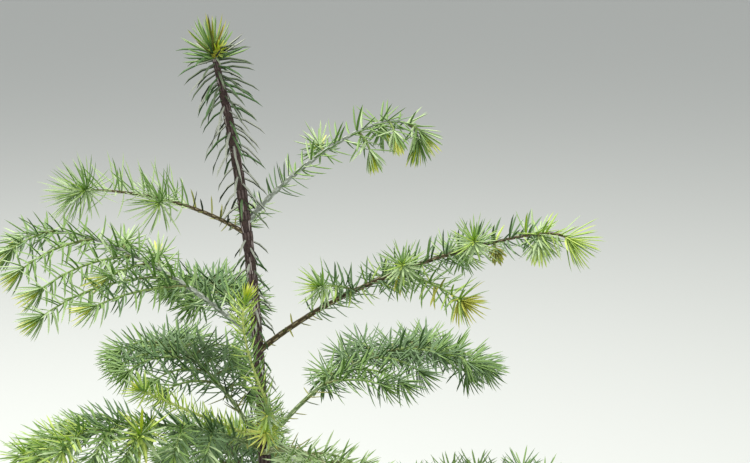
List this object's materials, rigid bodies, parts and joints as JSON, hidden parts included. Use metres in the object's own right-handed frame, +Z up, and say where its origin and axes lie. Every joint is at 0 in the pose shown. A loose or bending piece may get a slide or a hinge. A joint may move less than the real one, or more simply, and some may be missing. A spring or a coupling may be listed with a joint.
{
  "type": "young norfolk island pine tree",
  "caption": "Young conifer rooted in the ground: slender leaning trunk, open whorls of arching boughs, twigs with soft curved needles, and an upright leader.",
  "frame": {"origin": "middle of the trunk's flat cut at ground level", "axes": "+Z up along the trunk; +X to the right and +Y away, as the leader leans towards -X"},
  "size_m": [0.3403, 0.3536, 0.4328],
  "materials": {
    "trunk_bark": "dull reddish brown bark with pale leaf bases",
    "bough_bark": "dull brown to green-grey bark with pale leaf bases",
    "foliage": "soft satin green needles",
    "leader_needles": "soft satin olive green needles"
  },
  "bodies": {
    "root": {"trunk": "trunk_bark", "leader_tip": "leader_needles", "leader_needles_upper": "leader_needles", "leader_needles_middle": "leader_needles", "leader_needles_lower": "leader_needles", "tier1_left_bough": "bough_bark", "tier1_left_foliage": "foliage", "tier1_right_bough": "bough_bark", "tier1_right_foliage": "foliage", "tier1_back_bough": "bough_bark", "tier1_back_foliage": "foliage", "tier2_right_bough": "bough_bark", "tier2_right_foliage": "foliage", "tier2_left_bough": "bough_bark", "tier2_left_foliage": "foliage", "tier2_back_bough": "bough_bark", "tier2_back_foliage": "foliage", "tier3_left_bough": "bough_bark", "tier3_left_foliage": "foliage", "tier3_left_front_bough": "bough_bark", "tier3_left_front_foliage": "foliage", "tier3_front_bough": "bough_bark", "tier3_front_foliage": "foliage", "tier3_right_front_bough": "bough_bark", "tier3_right_front_foliage": "foliage", "tier3_right_back_bough": "bough_bark", "tier3_right_back_foliage": "foliage", "tier3_back_bough": "bough_bark", "tier3_back_foliage": "foliage", "tier4_1_bough": "bough_bark", "tier4_1_foliage": "foliage", "tier4_2_bough": "bough_bark", "tier4_2_foliage": "foliage", "tier4_3_bough": "bough_bark", "tier4_3_foliage": "foliage", "tier4_4_bough": "bough_bark", "tier4_4_foliage": "foliage", "tier4_5_bough": "bough_bark", "tier4_5_foliage": "foliage", "tier5_1_bough": "bough_bark", "tier5_1_foliage": "foliage", "tier5_2_bough": "bough_bark", "tier5_2_foliage": "foliage", "tier5_3_bough": "bough_bark", "tier5_3_foliage": "foliage", "tier5_4_bough": "bough_bark", "tier5_4_foliage": "foliage", "tier5_5_bough": "bough_bark", "tier5_5_foliage": "foliage", "tier6_1_bough": "bough_bark", "tier6_1_foliage": "foliage", "tier6_2_bough": "bough_bark", "tier6_2_foliage": "foliage", "tier6_3_bough": "bough_bark", "tier6_3_foliage": "foliage", "tier6_4_bough": "bough_bark", "tier6_4_foliage": "foliage", "tier6_5_bough": "bough_bark", "tier6_5_foliage": "foliage"}
  },
  "joints": []
}
